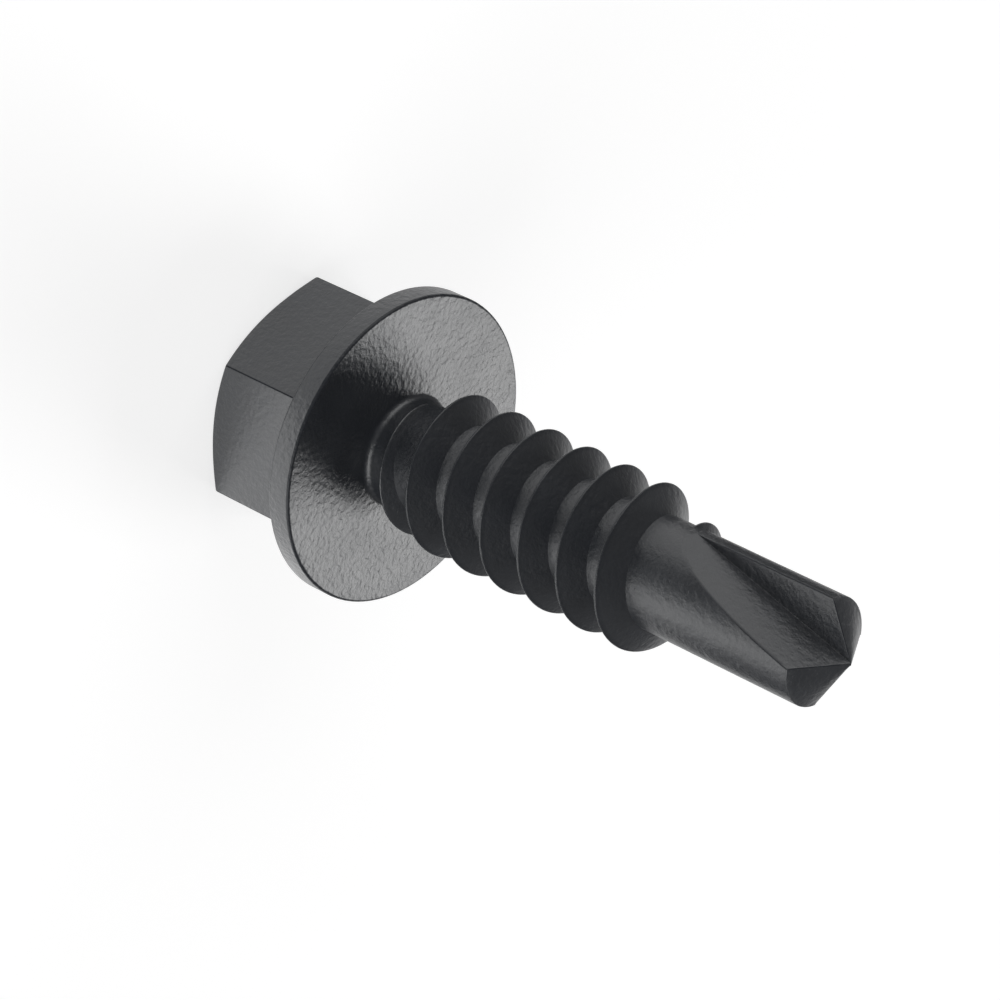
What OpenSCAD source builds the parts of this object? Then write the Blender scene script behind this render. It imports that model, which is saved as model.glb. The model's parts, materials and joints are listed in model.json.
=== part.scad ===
// Self-drilling sheet metal screw with a hexagon washer head, 5.5 mm by 19 mm.
// It is modelled along its own axis, head below and point above, with the bearing
// face at zero height. It is then raised to stand on the flat end of its head, as
// it would roll away if it lay on the round rim of its washer.

/* [Head] */
// Width across the flats of the hexagon
across_flats = 8; // [7.6:0.1:8.4]
// Height of the whole head behind the bearing face
head_h = 5.3; // [4.6:0.1:6]
// Diameter of the flat circle that the chamfer leaves on the end of the head
head_end_d = 7.5; // [7:0.1:7.8]
// Slope of the chamfer round the end of the hexagon
head_chamfer_angle = 30; // [20:1:35]
// Radius along the six edges of the hexagon
hex_edge_r = 0.12; // [0.05:0.01:0.3]

/* [Washer] */
// Diameter of the washer forged onto the head
washer_d = 11; // [10:0.1:12.5]
// Thickness of the washer
washer_t = 0.92; // [0.7:0.01:1.4]
// Radius round both edges of the washer
rim_r = 0.1; // [0.04:0.01:0.3]
// Radius of the hollow between the washer and the shank
neck_r = 0.22; // [0.15:0.01:0.4]

/* [Shank] */
// Length from the bearing face to the tip of the point
length = 19; // [17:0.5:24]
// Diameter of the core under the thread
core_d = 3.7; // [3.4:0.05:4.2]

/* [Thread] */
// Diameter over the thread
thread_d = 5.46; // [5.2:0.02:5.9]
// Distance from one turn of the thread to the next
thread_pitch = 1.65; // [1.5:0.01:1.8]
// Width of the land on the crest of the thread
crest_w = 0.06; // [0.03:0.01:0.12]
// Angle between the two flanks of the thread
flank_angle = 60; // [45:1:62]
// Distance from the bearing face to where the thread starts
thread_start = 0.46; // [0.4:0.01:1.2]
// Turn of the thread's start from the edge of the hexagon
thread_turn = -24; // [-180:1:180]
// Number of turns from the start of the thread to its end
thread_turns = 7.05; // [5:0.05:7.05]
// Part of a turn over which the thread rises out of the core beside the head
rise_turns = 0.65; // [0.3:0.05:1]
// Part of a turn over which the thread sinks back into the core beside the point
fall_turns = 0.4; // [0.3:0.02:1]

/* [Drill point] */
// Diameter of the drill point
drill_d = 3.7; // [3.4:0.05:4.2]
// Length over which the core changes to the drill point's diameter
drill_step_l = 0.4; // [0.2:0.05:0.8]
// Included angle of the cone at the tip
point_angle = 120; // [100:1:140]
// Length of each flute, measured from the tip along the axis
flute_l = 6.63; // [5:0.05:6.7]
// Angle between the two faces of a flute
flute_angle = 102; // [90:1:115]
// Radius in the valley of a flute
flute_r = 0.03; // [0.02:0.01:0.4]
// Thickness of the web between the flutes at the tip
web_t = 0.08; // [0.02:0.01:0.3]
// Turn of the cutting edges from the edge of the hexagon
flute_turn = -1; // [-30:1:30]

/* [Hidden] */

thread_steps = 48;
round_steps = 5;
washer_r = washer_d / 2;
core_r = core_d / 2;
drill_r = drill_d / 2;
thread_r = thread_d / 2;
head_end_r = head_end_d / 2;
hex_r = across_flats / 2 / cos(30);

// The shoulder is where the drill point's cylinder meets its cone
shoulder_z = length - drill_r / tan(point_angle / 2);

// The thread sinks this far into the core, so that the two are one solid
thread_sink = 0.2;
thread_foot_r = min(core_r, drill_r) - thread_sink;
// The ends of the thread lie this far under the surface of the core
thread_end_depth = 0.05;
thread_end_z = thread_start + thread_turns * thread_pitch;
step_start_z = thread_end_z - drill_step_l;

// Each flute's valley runs in a straight line from the surface to the tip
flute_slope = atan(drill_r / flute_l);
cutter_size = 3 * drill_r;
cutter_l = flute_l / cos(flute_slope) + cutter_size;
cutter_over = drill_r;

// Points of an arc about a centre
function arc(centre, r, from, to, steps) = [
    for (i = [0:steps])
        let (a = from + (to - from) * i / steps)
        centre + r * [cos(a), sin(a)]
];

// Outline of the hexagon with its six corners rounded
hex_corner_r = hex_r - hex_edge_r / cos(30);
hex_outline = [
    for (k = [0:5])
        each arc(hex_corner_r * [cos(60 * k), sin(60 * k)], hex_edge_r,
                 60 * k - 30, 60 * k + 30, round_steps)
];

// Half section of the washer, neck, core and drill point, for one revolution
blank_profile = concat(
    [[0, -washer_t - head_h / 4]],
    [[head_end_r / 2, -washer_t - head_h / 4]],
    [[head_end_r / 2, -washer_t]],
    arc([washer_r - rim_r, rim_r - washer_t], rim_r, -90, 0, round_steps),
    arc([washer_r - rim_r, -rim_r], rim_r, 0, 90, round_steps),
    arc([core_r + neck_r, neck_r], neck_r, -90, -180, round_steps),
    [[core_r, step_start_z]],
    [[drill_r, thread_end_z]],
    [[drill_r, shoulder_z]],
    [[0, length]]
);

// Height of the crest above the axis at a given number of turns along the thread.
// It rises evenly, and sinks faster and faster towards the end.
function crest_r(turns) =
    let (low = core_r - thread_end_depth,
         rise = min(1, turns / rise_turns),
         fall = min(1, (thread_turns - turns) / fall_turns))
    low + (thread_r - low) * min(rise, sin(90 * fall));

// Four corners of the thread's section at a given number of turns
function thread_section(turns) =
    let (r = crest_r(turns),
         half = crest_w / 2 + (r - thread_foot_r) * tan(flank_angle / 2))
    [[thread_foot_r, -half], [r, -crest_w / 2], [r, crest_w / 2], [thread_foot_r, half]];

thread_rings = ceil(thread_turns * thread_steps);
thread_points = [
    for (i = [0:thread_rings])
        let (turns = thread_turns * i / thread_rings,
             a = thread_turn + 360 * turns,
             z = thread_start + thread_pitch * turns)
        for (p = thread_section(turns))
            [p[0] * cos(a), p[0] * sin(a), z + p[1]]
];
thread_faces = concat(
    [[0, 2, 1], [0, 3, 2]],
    [
        for (i = [0:thread_rings - 1], j = [0:3])
            let (a = 4 * i + j,
                 b = 4 * i + (j + 1) % 4)
            each [[a, b, a + 4], [b, b + 4, a + 4]]
    ],
    [[4 * thread_rings, 4 * thread_rings + 1, 4 * thread_rings + 2],
     [4 * thread_rings, 4 * thread_rings + 2, 4 * thread_rings + 3]]
);

// Hexagon with the chamfer round its end
module hexagon() {
    cone_reach = hex_r - head_end_r;
    cone_h = cone_reach * tan(head_chamfer_angle);
    intersection() {
        translate([0, 0, -head_h])
            linear_extrude(head_h - washer_t / 2) polygon(hex_outline);
        union() {
            translate([0, 0, -head_h])
                cylinder(h = cone_h, r1 = head_end_r, r2 = hex_r, $fn = 96);
            translate([0, 0, -head_h + cone_h])
                cylinder(h = head_h, r = hex_r, $fn = 96);
        }
    }
}

// Washer, neck, core and drill point, turned in one
module blank() {
    rotate_extrude($fn = 96) polygon(blank_profile);
}

// Prism that cuts one flute: one face stands on a radius, the other slopes
module flute_cutter() {
    open = 180 - flute_angle;
    valley = flute_r / sin(flute_angle / 2) * [cos(flute_angle / 2), sin(flute_angle / 2)];
    outline = concat(
        arc(valley, flute_r, 270, 270 - open, round_steps),
        [cutter_size * [cos(flute_angle), sin(flute_angle)]],
        [cutter_size * [cos(flute_angle / 2), sin(flute_angle / 2)] * sqrt(2)],
        [[cutter_size, 0]]
    );
    translate([0, 0, length])
        rotate([0, -flute_slope, 0])
            translate([web_t / 2, 0, -cutter_l])
                linear_extrude(cutter_l + cutter_over) polygon(outline);
}

// Coarse thread, wound as one strip of constant section that tapers at both ends
module thread() {
    polyhedron(points = thread_points, faces = thread_faces, convexity = 12);
}

// The whole screw, standing on its head
module screw() {
    color([0.24, 0.25, 0.27])
        translate([0, 0, head_h]) {
            hexagon();
            thread();
            difference() {
                blank();
                for (side = [0, 180])
                    rotate([0, 0, side + flute_turn]) flute_cutter();
            }
        }
}

screw();
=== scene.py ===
"""Looks of a short self-drilling screw with a hexagon washer head.

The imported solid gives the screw's place, and this script replaces it with a finer
mesh of the same form, dressed in black oxide on cold-forged steel. Sizes are in
millimetres in the screw's own frame: the axis is +Z, the bearing face under the
washer is at zero and the drill point is above it.
"""

import json
import logging
import math
from dataclasses import dataclass, field

import bmesh
import bpy
from mathutils import Matrix, Vector


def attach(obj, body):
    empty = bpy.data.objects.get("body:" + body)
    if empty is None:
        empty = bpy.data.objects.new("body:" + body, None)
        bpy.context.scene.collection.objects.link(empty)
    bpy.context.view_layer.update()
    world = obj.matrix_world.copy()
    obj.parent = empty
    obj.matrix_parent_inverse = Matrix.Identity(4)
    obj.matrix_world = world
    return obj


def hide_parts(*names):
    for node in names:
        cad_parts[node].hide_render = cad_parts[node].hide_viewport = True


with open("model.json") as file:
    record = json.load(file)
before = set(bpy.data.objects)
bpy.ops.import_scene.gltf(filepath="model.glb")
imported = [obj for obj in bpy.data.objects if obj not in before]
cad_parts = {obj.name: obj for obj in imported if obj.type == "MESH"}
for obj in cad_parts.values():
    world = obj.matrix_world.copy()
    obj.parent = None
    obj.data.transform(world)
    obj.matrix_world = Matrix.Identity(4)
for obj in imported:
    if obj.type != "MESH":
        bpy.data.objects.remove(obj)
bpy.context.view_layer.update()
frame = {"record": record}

LOG = logging.getLogger("screw")

MM = 0.001
BODY = "root"
NODE = "screw"
# Names of the mesh attributes that mark the edges with painted shade, dark lines where the
# reflections are cut, and the forged head
EDGE_SHADE = "edge"
FORGED = "forged"
# Points closer than this, in millimetres, are one point
WELD = 0.0002
# Points nearer to a surface than this, in millimetres, lie on it
TOUCH = 0.001
# Edges that turn by more than this are crisp
CRISP_ANGLE = math.radians(38)

Point2 = tuple[float, float]
Point3 = tuple[float, float, float]


def arc(centre: Point2, radius: float, start: float, end: float, steps: int) -> list[Point2]:
    """Points along a circular arc.

    Args:
        centre: Centre of the arc.
        radius: Radius of the arc.
        start: Angle of the first point, in degrees.
        end: Angle of the last point, in degrees.
        steps: Number of equal steps.

    Returns:
        The points, both ends among them.
    """
    angles = (math.radians(start + (end - start) * i / steps) for i in range(steps + 1))
    return [(centre[0] + radius * math.cos(a), centre[1] + radius * math.sin(a)) for a in angles]


def between(first: Point2, last: Point2, steps: int) -> list[Point2]:
    """Points along a straight line.

    Args:
        first: Where the line starts.
        last: Where the line ends.
        steps: Number of equal steps.

    Returns:
        The points, both ends among them.
    """
    return [
        (first[0] + (last[0] - first[0]) * i / steps, first[1] + (last[1] - first[1]) * i / steps)
        for i in range(steps + 1)
    ]


def polar(radius: float, degrees: float) -> Point2:
    """The point at a radius and an angle in degrees."""
    return radius * math.cos(math.radians(degrees)), radius * math.sin(math.radians(degrees))


@dataclass
class Shell:
    """A closed surface that is made ring by ring."""

    points: list[Point3] = field(default_factory=list)
    faces: list[tuple[int, ...]] = field(default_factory=list)

    def ring(self, outline: list[Point3]) -> list[int]:
        """Adds the points of one ring.

        Args:
            outline: Points of the ring, in order.

        Returns:
            The numbers of the new points.
        """
        first = len(self.points)
        self.points.extend(outline)
        return list(range(first, len(self.points)))

    def bridge(self, lower: list[int], upper: list[int]) -> None:
        """Joins two rings of equal length with a band of four-sided faces.

        Args:
            lower: Ring that is seen first along the surface.
            upper: Ring that follows it.
        """
        count = len(lower)
        for i in range(count):
            j = (i + 1) % count
            self.faces.append((lower[i], lower[j], upper[j], upper[i]))

    def cap(self, ring: list[int], outward_up: bool) -> None:
        """Closes the surface at a ring.

        Args:
            ring: Ring that is closed with one flat face.
            outward_up: Whether the face looks along the order of the rings.
        """
        self.faces.append(tuple(ring) if outward_up else tuple(reversed(ring)))

    def loft(self, rings: list[list[Point3]]) -> None:
        """Builds the whole closed surface from a list of rings.

        Args:
            rings: Rings of equal length, from one end to the other.
        """
        numbered = [self.ring(outline) for outline in rings]
        for lower, upper in zip(numbered, numbered[1:]):
            self.bridge(lower, upper)
        self.cap(numbered[0], False)
        self.cap(numbered[-1], True)

    def make_object(self, name: str) -> bpy.types.Object:
        """Turns the surface into an object.

        Args:
            name: Name of the new object.

        Returns:
            The object, linked into the scene.
        """
        mesh = bpy.data.meshes.new(name)
        mesh.from_pydata(self.points, [], self.faces)
        weld(mesh)
        made = bpy.data.objects.new(name, mesh)
        bpy.context.scene.collection.objects.link(made)
        return made


def weld(mesh: bpy.types.Mesh) -> None:
    """Joins the points of a mesh that lie on one another.

    Args:
        mesh: Mesh that is changed.
    """
    work = bmesh.new()
    work.from_mesh(mesh)
    bmesh.ops.remove_doubles(work, verts=work.verts, dist=WELD)
    bmesh.ops.dissolve_degenerate(work, edges=work.edges, dist=WELD)
    bmesh.ops.triangulate(work, faces=[face for face in work.faces if len(face.verts) > 4])
    bmesh.ops.recalc_face_normals(work, faces=work.faces)
    work.to_mesh(mesh)
    work.free()


@dataclass
class Hexagon:
    """The six-sided drive, chamfered round its end."""

    across_flats: float = 8.0
    height: float = 5.3
    end_diameter: float = 7.5
    chamfer_angle: float = 30.0
    edge_radius: float = 0.12
    chamfer_radius: float = 0.08
    corner_steps: int = 8
    side_steps: int = 24
    end_shares: tuple[float, ...] = (0.2, 0.6, 0.9)
    end_round_steps: int = 3
    side_round_steps: int = 6
    wall_steps: int = 12
    foot: float = 0.46

    def outline(self) -> list[Point2]:
        """The hexagon with rounded corners, as one closed line."""
        reach = self.across_flats / 2 / math.cos(math.radians(30))
        corner = reach - self.edge_radius / math.cos(math.radians(30))
        points: list[Point2] = []
        for side in range(6):
            turn = 60 * side
            centre = polar(corner, turn)
            rounding = arc(centre, self.edge_radius, turn - 30, turn + 30, self.corner_steps)
            start = rounding[-1]
            next_centre = polar(corner, turn + 60)
            stop_step = polar(self.edge_radius, turn + 30)
            stop = (next_centre[0] + stop_step[0], next_centre[1] + stop_step[1])
            points.extend(rounding)
            points.extend(between(start, stop, self.side_steps)[1:-1])
        return points

    def profile(self, reach: float) -> list[Point2]:
        """The half section at one place round the hexagon.

        Args:
            reach: Distance from the axis to the side at that place.

        Returns:
            Distance from the axis and height of each point, from the end downwards.
        """
        slope = math.radians(self.chamfer_angle)
        end_radius = self.end_diameter / 2
        edge_height = -self.height + (reach - end_radius) * math.tan(slope)
        # Tangent lengths of the two small rounds, at the end face and at the side
        end_cut = self.chamfer_radius * math.tan(slope / 2)
        side_cut = self.chamfer_radius * math.tan((math.pi / 2 - slope) / 2)
        end_centre = (end_radius - end_cut, -self.height + self.chamfer_radius)
        side_centre = (reach - self.chamfer_radius, edge_height + side_cut)
        points = [(end_radius * share, -self.height) for share in self.end_shares]
        turn = self.chamfer_angle - 90
        points += arc(end_centre, self.chamfer_radius, -90, turn, self.end_round_steps)
        points += arc(side_centre, self.chamfer_radius, turn, 0, self.side_round_steps)
        top = points[-1][1]
        points += between((reach, top), (reach, -self.foot), self.wall_steps)[1:]
        return points

    def shell(self) -> Shell:
        """The drive as a closed surface that ends inside the washer."""
        columns = []
        for x, y in self.outline():
            reach = math.hypot(x, y)
            columns.append([(r * x / reach, r * y / reach, z) for r, z in self.profile(reach)])
        made = Shell()
        made.loft([list(row) for row in zip(*columns)])
        return made


@dataclass
class DrillPoint:
    """Two fluted cutting lobes under a cone."""

    diameter: float = 3.7
    length: float = 19.0
    point_angle: float = 120.0
    flute_length: float = 6.63
    flute_angle: float = 102.0
    valley_radius: float = 0.012
    web: float = 0.08
    flute_turn: float = -1.0
    edge_radius: float = 0.045
    lobe_steps: int = 72
    edge_steps: int = 5
    face_steps: int = 12
    valley_steps: int = 8
    floor_steps: int = 24
    shoulder_steps: int = 5
    flute_rings: int = 96
    cone_rings: int = 30
    # The rings lie closer where a flute starts and towards the tip
    flute_crowding: float = 1.45
    cone_crowding: float = 1.4
    # Largest shares of a flute's depth that its three rounds take up
    far_share: float = 0.35
    near_share: float = 0.3
    valley_share: float = 0.5
    # First ring's distance past the start, room before the shoulder, and the tip's radius
    start_gap: float = 1e-4
    shoulder_gap: float = 0.01
    tip_radius: float = 0.004

    @property
    def radius(self) -> float:
        """Radius of the cylinder that the flutes are cut in."""
        return self.diameter / 2

    @property
    def slope(self) -> float:
        """Angle between a flute's valley and the axis, in radians."""
        return math.atan(self.radius / self.flute_length)

    @property
    def floor_direction(self) -> Point2:
        """Direction in which a flute's floor leaves its valley, in a flat section."""
        angle = math.radians(self.flute_angle)
        x, y = math.cos(angle) / math.cos(self.slope), math.sin(angle)
        size = math.hypot(x, y)
        return x / size, y / size

    @property
    def shoulder(self) -> float:
        """Height at which the cylinder meets the cone."""
        return self.length - self.radius / self.cone_run

    @property
    def cone_run(self) -> float:
        """How fast the cone widens with the distance from the tip."""
        return math.tan(math.radians(self.point_angle / 2))

    @property
    def start(self) -> float:
        """Height at which a flute's floor first touches the cylinder."""
        across = self.floor_direction[1]
        return self.length - (self.radius / across - self.valley_offset) / math.tan(self.slope)

    @property
    def valley_offset(self) -> float:
        """Distance from the axis to a flute's valley at the tip."""
        return self.web / 2 / math.cos(self.slope)

    def outline(self, height: float, radius: float) -> list[Point2]:
        """Section across the drill point at one height.

        Args:
            height: Height of the section.
            radius: Radius of the cylinder or cone there.

        Returns:
            A closed line with the same number of points at every height.
        """
        apex = self.valley_offset + (self.length - height) * math.tan(self.slope)
        run_x, run_y = self.floor_direction
        # Nearest point of the floor's line to the axis, and half of its chord
        nearest = -apex * run_x
        off_axis = apex * run_y
        half_chord = math.sqrt(max(0.0, radius**2 - off_axis**2))
        depth = max(0.0, radius - off_axis)
        far_round = min(self.edge_radius, self.far_share * depth)
        if apex < radius:
            near, near_angle = self.face_and_valley(apex, radius)
        else:
            near = (apex + (nearest - half_chord) * run_x, (nearest - half_chord) * run_y)
            near_angle = math.degrees(math.atan2(near[1], near[0]))
            near = [near] * (self.edge_steps + self.face_steps + self.valley_steps + 2)
        # The rounded edge where the floor leaves the lobe
        chord = math.sqrt(max(0.0, (radius - far_round) ** 2 - (off_axis - far_round) ** 2))
        along = nearest + chord
        centre = (apex - far_round * run_y + along * run_x, far_round * run_x + along * run_y)
        floor_end = (apex + along * run_x, along * run_y)
        edge_start = math.degrees(math.atan2(-run_x, run_y))
        edge_end = math.degrees(math.atan2(centre[1], centre[0]))
        far = arc(centre, far_round, edge_start, edge_end, self.edge_steps)
        lobe_start = math.degrees(math.atan2(far[-1][1], far[-1][0]))
        lobe = arc((0, 0), radius, lobe_start, 180 + near_angle, self.lobe_steps)
        floor = between(near[-1], floor_end, self.floor_steps)
        half = near + floor[1:-1] + far + lobe[1:-1]
        return half + [(-x, -y) for x, y in half]

    def face_and_valley(self, apex: float, radius: float) -> tuple[list[Point2], float]:
        """The outer edge, the cutting face and the valley of one flute.

        Args:
            apex: Distance from the axis to where the two faces of the flute meet.
            radius: Radius of the cylinder or cone.

        Returns:
            The points from the outer edge to the far end of the valley's round, and
            the angle in degrees at which the outer edge leaves the lobe.
        """
        depth = radius - apex
        edge = min(self.edge_radius, self.near_share * depth)
        centre_x = math.sqrt((radius - edge) ** 2 - edge**2)
        turn = math.degrees(math.asin(edge / (radius - edge)))
        # The edge belongs to the lobe below the face, so it turns from the lobe inwards
        outer = arc((centre_x, -edge), edge, -turn, 90, self.edge_steps)
        half_angle = math.radians(self.flute_angle) / 2
        room = (centre_x - apex) * math.tan(half_angle)
        valley = min(self.valley_radius, self.valley_share * room)
        tangent = valley / math.tan(half_angle)
        face = between((centre_x, 0.0), (apex + tangent, 0.0), self.face_steps)
        start, stop = 270.0, 90.0 + self.flute_angle
        bend = arc((tangent, valley), valley, start, stop, self.valley_steps)
        stretch = 1 / math.cos(self.slope)
        bend = [(apex + x * stretch, y) for x, y in bend]
        return outer + face[1:] + bend, -turn

    def rings(self) -> list[list[Point3]]:
        """Rings from the first touch of the flutes to the tip."""
        made = []
        stations = [self.start + self.start_gap]
        run = self.shoulder - self.start
        for i in range(1, self.flute_rings):
            share = (i / self.flute_rings) ** self.flute_crowding
            stations.append(self.start + run * share)
        profile = [(self.radius, height) for height in stations]
        # The shoulder's small round, then the cone
        shoulder_angle = 90 - self.point_angle / 2
        bend = 2 * self.edge_radius
        cut = bend * math.tan(math.radians(shoulder_angle) / 2)
        centre = (self.radius - bend, self.shoulder - cut)
        profile = [p for p in profile if p[1] < centre[1] - self.shoulder_gap]
        profile += arc(centre, bend, 0, shoulder_angle, self.shoulder_steps)
        last = profile[-1]
        for i in range(1, self.cone_rings + 1):
            share = (1 - i / self.cone_rings) ** self.cone_crowding
            height = self.length - (self.length - last[1]) * share
            reach = (self.length - height) * self.cone_run
            profile.append((max(self.tip_radius, reach), height))
        for radius, height in profile:
            made.append([(x, y, height) for x, y in self.outline(height, radius)])
        return made


@dataclass
class Blank:
    """Washer, neck and core, turned in one with the drill point."""

    drill: DrillPoint
    washer_diameter: float = 11.0
    washer_thickness: float = 0.92
    rim_radius: float = 0.1
    neck_radius: float = 0.22
    core_diameter: float = 3.7
    rim_steps: int = 8
    core_steps: int = 24
    back_steps: int = 10
    face_steps: int = 16
    # The boss stays inside the hexagon and joins it to the washer
    boss_share: float = 0.65
    boss_height: float = 2.2

    def profile(self) -> list[Point2]:
        """Half section from inside the hexagon to the start of the flutes."""
        washer = self.washer_diameter / 2
        core = self.core_diameter / 2
        rim, neck = self.rim_radius, self.neck_radius
        boss = self.boss_share * core
        back = -self.washer_thickness
        points = [(boss, -self.boss_height)]
        points += between((boss, back), (washer - rim, back), self.back_steps)
        points += arc((washer - rim, back + rim), rim, -90, 0, self.rim_steps)[1:]
        points += arc((washer - rim, -rim), rim, 0, 90, self.rim_steps)
        points += between(points[-1], (core + neck, 0.0), self.face_steps)[1:]
        points += arc((core + neck, neck), neck, -90, -180, self.rim_steps)[1:]
        points += between(points[-1], (core, self.drill.start), self.core_steps)[1:-1]
        return points

    def shell(self) -> Shell:
        """Washer, neck, core and drill point as one closed surface."""
        first_flute = self.drill.rings()
        circle = first_flute[0]
        rings = []
        for radius, height in self.profile():
            scale = radius / self.drill.radius
            rings.append([(x * scale, y * scale, height) for x, y, _ in circle])
        made = Shell()
        made.loft(rings + first_flute)
        turn = Matrix.Rotation(math.radians(self.drill.flute_turn), 4, "Z")
        made.points = [tuple(turn @ Vector(point)) for point in made.points]
        return made


@dataclass
class Thread:
    """Coarse right-hand thread, wound as one strip that tapers at both ends."""

    diameter: float = 5.46
    pitch: float = 1.65
    core_diameter: float = 3.7
    crest_width: float = 0.06
    flank_angle: float = 60.0
    start: float = 0.46
    start_turn: float = -24.0
    turns: float = 7.05
    rise: float = 0.65
    fall: float = 0.4
    sink: float = 0.2
    end_depth: float = 0.05
    steps_per_turn: int = 144
    crest_steps: int = 6
    flank_steps: int = 8

    def crest(self, turns: float) -> float:
        """Distance from the axis to the crest.

        It rises evenly, and sinks faster and faster towards the end.

        Args:
            turns: Number of turns from the start of the thread.

        Returns:
            The distance.
        """
        low = self.core_diameter / 2 - self.end_depth
        rise = min(1.0, turns / self.rise)
        fall = min(1.0, (self.turns - turns) / self.fall)
        return low + (self.diameter / 2 - low) * min(rise, math.sin(math.pi / 2 * fall))

    def section(self, turns: float) -> list[Point2]:
        """The thread's section at one place along it.

        Args:
            turns: Number of turns from the start of the thread.

        Returns:
            Distance from the axis and height above the strip's middle of each point.
        """
        top = self.crest(turns)
        foot = self.core_diameter / 2 - self.sink
        slope = math.radians(self.flank_angle / 2)
        # The round that touches the crest's land and both flanks
        radius = self.crest_width / 2 / (1 / math.cos(slope) - math.tan(slope))
        half = self.crest_width / 2 + (top - foot) * math.tan(slope)
        degrees = 90 - self.flank_angle / 2
        crown = arc((top - radius, 0.0), radius, -degrees, degrees, self.crest_steps)
        lower = between((foot, -half), crown[0], self.flank_steps)[:-1]
        upper = between(crown[-1], (foot, half), self.flank_steps)[1:]
        return lower + crown + upper

    def shell(self) -> Shell:
        """The thread as a closed surface with its foot under the core's surface."""
        count = math.ceil(self.turns * self.steps_per_turn)
        rings = []
        for i in range(count + 1):
            turns = self.turns * i / count
            angle = math.radians(self.start_turn + 360 * turns)
            middle = self.start + self.pitch * turns
            cosine, sine = math.cos(angle), math.sin(angle)
            rings.append([(r * cosine, r * sine, middle + z) for r, z in self.section(turns)])
        made = Shell()
        made.loft(rings)
        return made


@dataclass(frozen=True)
class BlackOxide:
    """Black oxide on cold-forged steel, slightly oiled.

    The oxide is almost black in itself, so the eye sees a dark grey that comes mostly
    from broad, soft reflections in the oil. The wrinkles that forging leaves break
    these up.
    """

    name: str = "black_oxide_forged_steel"
    colour: str = "#232529"
    light_colour: str = "#2d3035"
    index: float = 1.72
    roughness: float = 0.37
    roughness_spread: float = 0.02
    wrinkle_size: float = 0.21
    wrinkle_height: float = 0.042
    rolled_share: float = 0.6
    grain_size: float = 0.07
    grain_height: float = 0.003
    plain_gloss: float = 0.5
    # Specular level on the edges, cut low to paint dark lines of shade there
    shaded_edge_gloss: float = 0.05


@dataclass(frozen=True)
class PaintedEdgeShade:
    """How much painted shade darkens each kind of edge, as dark lines with cut reflections, and
    how wide each line is.
    """

    hexagon: float = 1.0
    rim: float = 0.7
    crest: float = 0.5
    drill: float = 0.6
    hexagon_cut: float = 0.35
    rim_share: float = 0.85
    drill_share: float = 0.8
    crest_depth: float = 0.04
    # Nothing is marked nearer to the axis, or where a flute is only starting
    drill_reach: float = 0.3
    drill_fade: float = 0.4


def linear(code: str) -> tuple[float, float, float, float]:
    """Turns an sRGB hex value into linear light.

    Args:
        code: Colour as a hash sign and six hex digits.

    Returns:
        Red, green, blue and an alpha of one.
    """
    parts = []
    for start in (1, 3, 5):
        value = int(code[start : start + 2], 16) / 255
        parts.append(value / 12.92 if value <= 0.04045 else ((value + 0.055) / 1.055) ** 2.4)
    return parts[0], parts[1], parts[2], 1.0


def add_node(
    tree: bpy.types.NodeTree,
    kind: str,
    settings: dict[str, object] | None = None,
    inputs: dict[str, object] | None = None,
) -> bpy.types.Node:
    """Adds a node with its settings and links.

    Args:
        tree: Node tree that takes the node.
        kind: Blender's name of the node type.
        settings: Values of the node's own properties.
        inputs: For each input, a value or the output socket that feeds it.

    Returns:
        The new node.
    """
    node = tree.nodes.new(kind)
    for key, value in (settings or {}).items():
        setattr(node, key, value)
    for key, value in (inputs or {}).items():
        if isinstance(value, bpy.types.NodeSocket):
            tree.links.new(value, node.inputs[key])
        else:
            node.inputs[key].default_value = value
    return node


def new_material(name: str) -> tuple[bpy.types.Material, bpy.types.NodeTree]:
    """Makes an empty material.

    Args:
        name: Name of the material.

    Returns:
        The material and its empty node tree.
    """
    material = bpy.data.materials.new(name)
    material.use_nodes = True
    material.node_tree.nodes.clear()
    return material, material.node_tree


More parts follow.
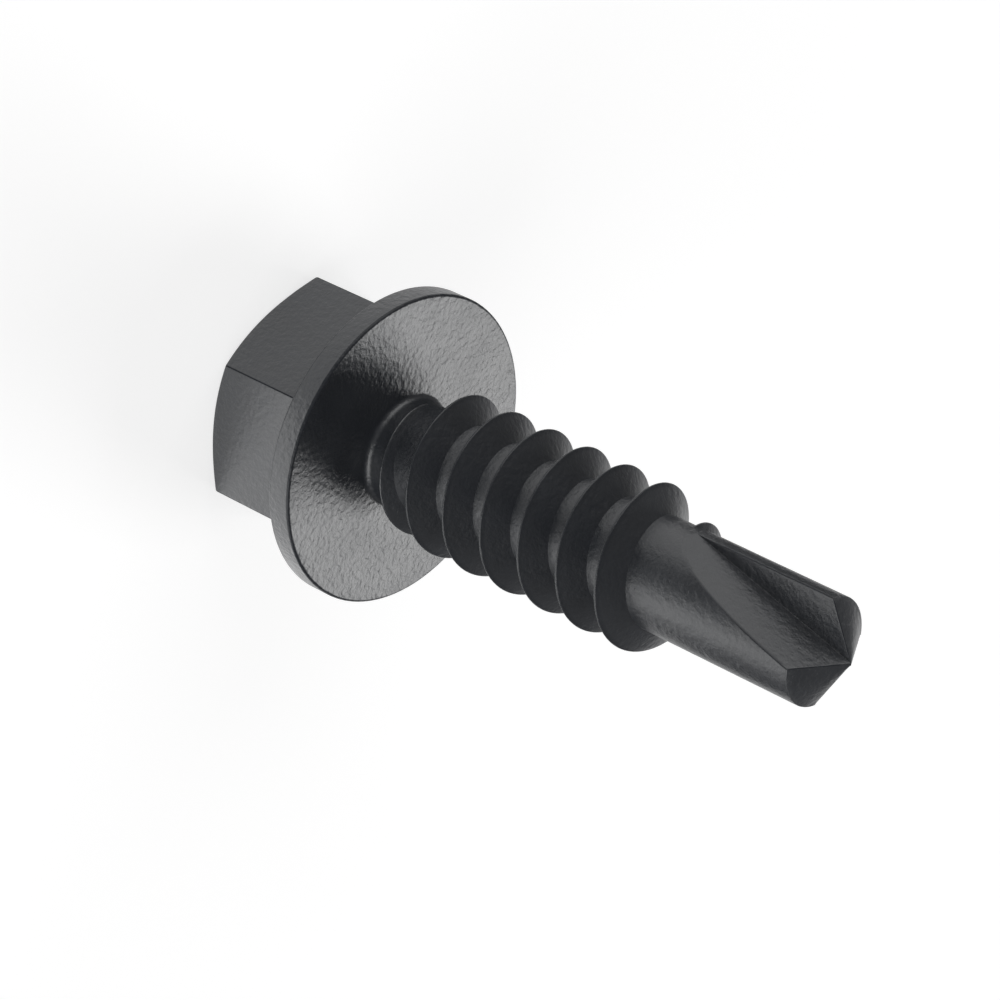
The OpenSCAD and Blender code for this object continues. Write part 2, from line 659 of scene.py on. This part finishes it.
def black_oxide(finish: BlackOxide) -> bpy.types.Material:
    """Makes the screw's material.

    Args:
        finish: Colours, gloss and pattern sizes.

    Returns:
        The material.
    """
    material, tree = new_material(finish.name)
    place = add_node(tree, "ShaderNodeTexCoord").outputs["Object"]
    # Object coordinates are metres, so a size in millimetres sets a scale per metre
    wrinkle = add_node(
        tree,
        "ShaderNodeTexNoise",
        {"noise_dimensions": "3D"},
        {
            "Vector": place,
            "Scale": 1 / (finish.wrinkle_size * MM),
            "Detail": 2.5,
            "Roughness": 0.55,
        },
    )
    grain = add_node(
        tree,
        "ShaderNodeTexNoise",
        {"noise_dimensions": "3D"},
        {"Vector": place, "Scale": 1 / (finish.grain_size * MM), "Detail": 1.0, "Roughness": 0.5},
    )
    blotch = add_node(
        tree,
        "ShaderNodeTexNoise",
        {"noise_dimensions": "3D"},
        {"Vector": place, "Scale": 1 / (6 * finish.wrinkle_size * MM), "Detail": 3.0},
    )
    colour = add_node(
        tree,
        "ShaderNodeMix",
        {"data_type": "RGBA"},
        {
            "Factor": blotch.outputs["Fac"],
            "A": linear(finish.colour),
            "B": linear(finish.light_colour),
        },
    )
    # The attribute is one on the edges, where painted shade cuts the reflections to dark lines
    edge = add_node(tree, "ShaderNodeAttribute", {"attribute_name": EDGE_SHADE}).outputs["Fac"]
    shine = add_node(
        tree,
        "ShaderNodeMapRange",
        {},
        {"Value": edge, "To Min": finish.plain_gloss, "To Max": finish.shaded_edge_gloss},
    )
    gloss = add_node(
        tree,
        "ShaderNodeMapRange",
        {},
        {
            "Value": blotch.outputs["Fac"],
            "From Min": 0.3,
            "From Max": 0.7,
            "To Min": finish.roughness - finish.roughness_spread,
            "To Max": finish.roughness + finish.roughness_spread,
        },
    )
    # Thread rolling and milling leave the shank smoother than the forged head
    forged = add_node(tree, "ShaderNodeAttribute", {"attribute_name": FORGED}).outputs["Fac"]
    strength = add_node(
        tree, "ShaderNodeMapRange", {}, {"Value": forged, "To Min": finish.rolled_share}
    )
    grain_bump = add_node(
        tree,
        "ShaderNodeBump",
        {},
        {"Height": grain.outputs["Fac"], "Strength": 1.0, "Distance": finish.grain_height * MM},
    )
    wrinkle_bump = add_node(
        tree,
        "ShaderNodeBump",
        {},
        {
            "Height": wrinkle.outputs["Fac"],
            "Strength": strength.outputs["Result"],
            "Distance": finish.wrinkle_height * MM,
            "Normal": grain_bump.outputs["Normal"],
        },
    )
    shader = add_node(
        tree,
        "ShaderNodeBsdfPrincipled",
        {},
        {
            "Base Color": colour.outputs[2],
            "Roughness": gloss.outputs["Result"],
            "IOR": finish.index,
            "Specular IOR Level": shine.outputs["Result"],
            "Normal": wrinkle_bump.outputs["Normal"],
        },
    )
    add_node(tree, "ShaderNodeOutputMaterial", {}, {"Surface": shader.outputs["BSDF"]})
    return material


@dataclass
class Screw:
    """The whole screw, in one piece as it is forged and rolled."""

    hexagon: Hexagon
    blank: Blank
    thread: Thread
    finish: BlackOxide
    # How much painted shade darkens each kind of edge
    edge_shade: PaintedEdgeShade = PaintedEdgeShade()

    def stand(self) -> Matrix:
        """Places the screw's own frame, in millimetres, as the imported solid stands."""
        mounts = {mount["name"]: mount for mount in frame["record"]["mounts"]}
        bearing = Vector(mounts["bearing_face"]["pos_m"])
        return Matrix.Translation(bearing) @ Matrix.Scale(MM, 4)

    def edge_shade_share(self, point: Vector) -> float:
        """How much painted shade darkens the edges of the head, the crest and the drill point.

        Args:
            point: Point of the surface, in the screw's own frame.

        Returns:
            One on the hexagon's edges, less on the other edges, and zero elsewhere.
        """
        reach = math.hypot(point.x, point.y)
        blank, edge_shade = self.blank, self.edge_shade
        if point.z > blank.neck_radius:
            if reach > self.thread.diameter / 2 - edge_shade.crest_depth:
                return edge_shade.crest
            return self.drill_edge_shade_share(point.z, reach)
        if point.z < -blank.washer_thickness - TOUCH:
            side = self.hexagon.across_flats / 2
            cut = edge_shade.hexagon_cut * self.hexagon.edge_radius
            across = side * math.tan(math.radians(30)) - cut
            return edge_shade.hexagon if reach > math.hypot(side, across) else 0.0
        width = edge_shade.rim_share * blank.rim_radius
        inside = blank.washer_diameter / 2 - width
        from_face = min(-point.z, point.z + blank.washer_thickness)
        return edge_shade.rim if reach > inside and 0.0 < from_face < width else 0.0

    def drill_edge_shade_share(self, height: float, reach: float) -> float:
        """How much painted shade darkens the edges of the drill point.

        Args:
            height: Height above the bearing face.
            reach: Distance from the axis.

        Returns:
            The share, which fades in where a flute leaves the surface.
        """
        drill, edge_shade = self.blank.drill, self.edge_shade
        full = min(drill.radius, (drill.length - height) * drill.cone_run)
        on_edge = TOUCH < full - reach < edge_shade.drill_share * drill.edge_radius
        if reach < edge_shade.drill_reach or not on_edge:
            return 0.0
        return edge_shade.drill * min(1.0, max(0.0, height - drill.start - edge_shade.drill_fade))

    def forged_share(self, point: Vector) -> float:
        """One on the forged head, and zero on the rolled and milled shank.

        Args:
            point: Point of the surface, in the screw's own frame.

        Returns:
            The share.
        """
        return 1.0 if point.z < WELD else 0.0

    def build(self) -> bpy.types.Object:
        """Makes the screw as one object, in place and dressed.

        Returns:
            The object.
        """
        whole = self.blank.shell().make_object("screw_body")
        for name, part in (("hexagon", self.hexagon), ("thread", self.thread)):
            piece = part.shell().make_object(name)
            unite(whole, piece)
        mesh = whole.data
        # The edge marks paint shade on the edges, and the forged marks set the bump
        for name, share in ((EDGE_SHADE, self.edge_shade_share), (FORGED, self.forged_share)):
            marks = mesh.attributes.new(name, "FLOAT", "POINT")
            marks.data.foreach_set("value", [share(vertex.co) for vertex in mesh.vertices])
        mesh.transform(self.stand())
        mesh.polygons.foreach_set("use_smooth", [True] * len(mesh.polygons))
        mesh.set_sharp_from_angle(angle=CRISP_ANGLE)
        mesh.materials.clear()
        mesh.materials.append(black_oxide(self.finish))
        return whole


def unite(whole: bpy.types.Object, piece: bpy.types.Object) -> None:
    """Fuses a piece into another object and removes the piece.

    Args:
        whole: Object that grows.
        piece: Object that is used up.
    """
    modifier = whole.modifiers.new("unite", "BOOLEAN")
    modifier.operation = "UNION"
    modifier.solver = "MANIFOLD"
    modifier.object = piece
    graph = bpy.context.evaluated_depsgraph_get()
    fused = bpy.data.meshes.new_from_object(whole.evaluated_get(graph))
    whole.modifiers.clear()
    before = whole.data
    if len(fused.vertices) == len(before.vertices):
        raise RuntimeError(f"{piece.name} did not fuse with {whole.name}")
    whole.data = fused
    fused.name = before.name
    bpy.data.meshes.remove(before)
    used = piece.data
    bpy.data.objects.remove(piece)
    bpy.data.meshes.remove(used)


def direction(azimuth: float, elevation: float) -> Vector:
    """Unit vector at an azimuth from +X, against the clock, and an elevation, in degrees."""
    around, above = math.radians(azimuth), math.radians(elevation)
    level = math.cos(above)
    return Vector((level * math.cos(around), level * math.sin(around), math.sin(above)))


def look_along(way: Vector) -> Matrix:
    """Turns an object so that its own -Z points along a direction."""
    return way.to_track_quat("-Z", "Y").to_matrix().to_4x4()


@dataclass(frozen=True)
class SoftLamp:
    """A rectangular soft box that looks at the screw."""

    name: str
    azimuth: float
    elevation: float
    width_angle: float
    height_angle: float
    level: float
    distance: float = 1.0

    def add(self, aim: Vector) -> None:
        """Puts the lamp in its place.

        Args:
            aim: Point that the lamp looks at.
        """
        lamp = bpy.data.lights.new(self.name, "AREA")
        lamp.shape = "RECTANGLE"
        lamp.size = 2 * self.distance * math.tan(math.radians(self.width_angle / 2))
        lamp.size_y = 2 * self.distance * math.tan(math.radians(self.height_angle / 2))
        # A lamp of pi watts per square metre is white when it is seen
        lamp.energy = math.pi * self.level * lamp.size * lamp.size_y
        made = bpy.data.objects.new(self.name, lamp)
        bpy.context.scene.collection.objects.link(made)
        away = direction(self.azimuth, self.elevation)
        made.matrix_world = Matrix.Translation(aim + away * self.distance) @ look_along(-away)
        made.visible_camera = False


LAMPS = (
    SoftLamp(
        name="back_lamp",
        azimuth=240.0,
        elevation=36.0,
        width_angle=26.0,
        height_angle=40.0,
        level=4.4,
    ),
    SoftLamp(
        name="right_lamp",
        azimuth=-5.0,
        elevation=19.0,
        width_angle=57.0,
        height_angle=38.0,
        level=1.7,
    ),
    SoftLamp(
        name="left_lamp",
        azimuth=117.5,
        elevation=19.0,
        width_angle=52.0,
        height_angle=38.0,
        level=2.6,
    ),
)


@dataclass(frozen=True)
class Card:
    """A card on the floor that is only seen in the steel, with sizes in millimetres."""

    name: str
    azimuth: float
    gap: float
    width: float
    length: float
    level: float
    lift: float = 0.3

    def corners(self) -> list[Point3]:
        """Its four corners, in metres."""
        side, far = self.width / 2, self.gap + self.length
        turn = Matrix.Rotation(math.radians(self.azimuth), 3, "Z")
        flat = ((self.gap, -side), (far, -side), (far, side), (self.gap, side))
        return [tuple(turn @ Vector((x, y, self.lift)) * MM) for x, y in flat]

    def material(self) -> bpy.types.Material:
        """Black card, or white card; each glows at its own level with no lamp on it, and shows
        only as a painted reflection in the steel.
        """
        made, tree = new_material(f"matt_{self.name}")
        face = add_node(tree, "ShaderNodeEmission", {}, {"Strength": self.level})
        add_node(tree, "ShaderNodeOutputMaterial", {}, {"Surface": face.outputs[0]})
        return made


# The steel mirrors these, so their places follow what the photograph's steel shows
CARDS = (
    Card(
        name="black_card_front",
        azimuth=60.0,
        gap=21.5,
        width=36.0,
        length=150.0,
        level=0.02,
    ),
    Card(
        name="black_card_left",
        azimuth=172.0,
        gap=29.0,
        width=34.0,
        length=150.0,
        level=0.02,
    ),
    Card(
        name="black_card_back",
        azimuth=292.0,
        gap=24.0,
        width=26.0,
        length=150.0,
        level=0.02,
    ),
    # The white card glows with no lamp on it, a painted reflection in the steel
    Card(
        name="white_card_side",
        azimuth=119.0,
        gap=5.0,
        width=18.0,
        length=77.0,
        level=1.9,
    ),
)


@dataclass
class Studio:
    """White floor, plain soft lamps and the camera."""

    floor_reach: float = 1.2
    floor_colour: str = "#b8b8b8"
    floor_glow: float = 0.7
    world_colour: str = "#ffffff"
    world_level: float = 0.15
    camera_azimuth: float = 149.138
    camera_elevation: float = 35.741
    camera_roll: float = 115.78
    camera_distance: float = 123.114
    camera_aim: Point3 = (-0.114, 0.068, 9.703)
    camera_lens: float = 135.046
    sensor: float = 36.0
    camera_clip: Point2 = (0.001, 10.0)

    def add_camera(self) -> None:
        """Puts the camera at the photograph's angle."""
        azimuth = math.radians(self.camera_azimuth)
        elevation = math.radians(self.camera_elevation)
        back = Vector(
            (
                math.sin(azimuth) * math.cos(elevation),
                -math.cos(azimuth) * math.cos(elevation),
                math.sin(elevation),
            )
        )
        data = bpy.data.cameras.new("camera")
        data.lens = self.camera_lens
        data.sensor_width = self.sensor
        data.clip_start, data.clip_end = self.camera_clip
        camera = bpy.data.objects.new("camera", data)
        bpy.context.scene.collection.objects.link(camera)
        aim = Vector(self.camera_aim) * MM
        camera.location = aim + back * self.camera_distance * MM
        turn = (-back).to_track_quat("-Z", "Y").to_matrix()
        roll = Matrix.Rotation(math.radians(self.camera_roll), 3, "Z")
        camera.rotation_euler = (turn @ roll).to_euler()
        bpy.context.scene.camera = camera

    def add_floor(self) -> None:
        """Lays the white floor under the screw.

        It glows a little where it is seen, in the frame and in the steel, so that it
        is white there with the light that falls on it.
        """
        reach = self.floor_reach
        corners = [(-reach, -reach, 0), (reach, -reach, 0), (reach, reach, 0), (-reach, reach, 0)]
        material, tree = new_material("matt_white_paper")
        path = add_node(tree, "ShaderNodeLightPath").outputs
        mirrored = add_node(
            tree,
            "ShaderNodeMath",
            {"operation": "MAXIMUM"},
            {0: path["Is Glossy Ray"], 1: path["Is Transmission Ray"]},
        )
        seen = add_node(
            tree,
            "ShaderNodeMath",
            {"operation": "MAXIMUM"},
            {0: path["Is Camera Ray"], 1: mirrored.outputs[0]},
        )
        glow = add_node(
            tree,
            "ShaderNodeMath",
            {"operation": "MULTIPLY"},
            {0: seen.outputs[0], 1: self.floor_glow},
        )
        paper = add_node(tree, "ShaderNodeBsdfDiffuse", {}, {"Color": linear(self.floor_colour)})
        shine = add_node(tree, "ShaderNodeEmission", {}, {"Strength": glow.outputs[0]})
        layers = {0: paper.outputs[0], 1: shine.outputs[0]}
        both = add_node(tree, "ShaderNodeAddShader", {}, layers)
        add_node(tree, "ShaderNodeOutputMaterial", {}, {"Surface": both.outputs[0]})
        self.add_sheet("floor", corners, material)

    def add_cards(self) -> None:
        """Lays the cards on the floor."""
        for card in CARDS:
            made = self.add_sheet(card.name, card.corners(), card.material())
            made.visible_camera = False
            made.visible_diffuse = False
            made.visible_shadow = False

    def add_sheet(
        self, name: str, corners: list[Point3], material: bpy.types.Material
    ) -> bpy.types.Object:
        """Makes one flat sheet of the studio.

        Args:
            name: Name of the sheet.
            corners: Its four corners, in metres.
            material: What it is made of.

        Returns:
            The sheet.
        """
        mesh = bpy.data.meshes.new(name)
        mesh.from_pydata(corners, [], [(0, 1, 2, 3)])
        mesh.materials.append(material)
        sheet = bpy.data.objects.new(name, mesh)
        bpy.context.scene.collection.objects.link(sheet)
        return sheet

    def add_world(self) -> None:
        """Gives the dim room round the lamps one plain level."""
        world = bpy.data.worlds.new("studio")
        world.use_nodes = True
        tree = world.node_tree
        tree.nodes.clear()
        room = {"Color": linear(self.world_colour), "Strength": self.world_level}
        light = add_node(tree, "ShaderNodeBackground", {}, room)
        add_node(tree, "ShaderNodeOutputWorld", {}, {"Surface": light.outputs[0]})
        bpy.context.scene.world = world

    def build(self) -> None:
        """Makes the camera, the floor, the cards and the light."""
        self.add_camera()
        self.add_floor()
        self.add_cards()
        self.add_world()
        for lamp in LAMPS:
            lamp.add(Vector(self.camera_aim) * MM)
        bpy.context.scene.view_settings.view_transform = "Standard"


def main() -> None:
    """Builds the screw and the studio, and reports the piece."""
    logging.basicConfig(level=logging.INFO, format="%(message)s")
    Studio().build()
    drill = DrillPoint()
    screw = Screw(Hexagon(), Blank(drill), Thread(), BlackOxide())
    made = screw.build()
    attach(made, BODY)
    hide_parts(NODE)
    LOG.info("%s: %d faces", made.name, len(made.data.polygons))


if __name__ == "__main__":
    main()
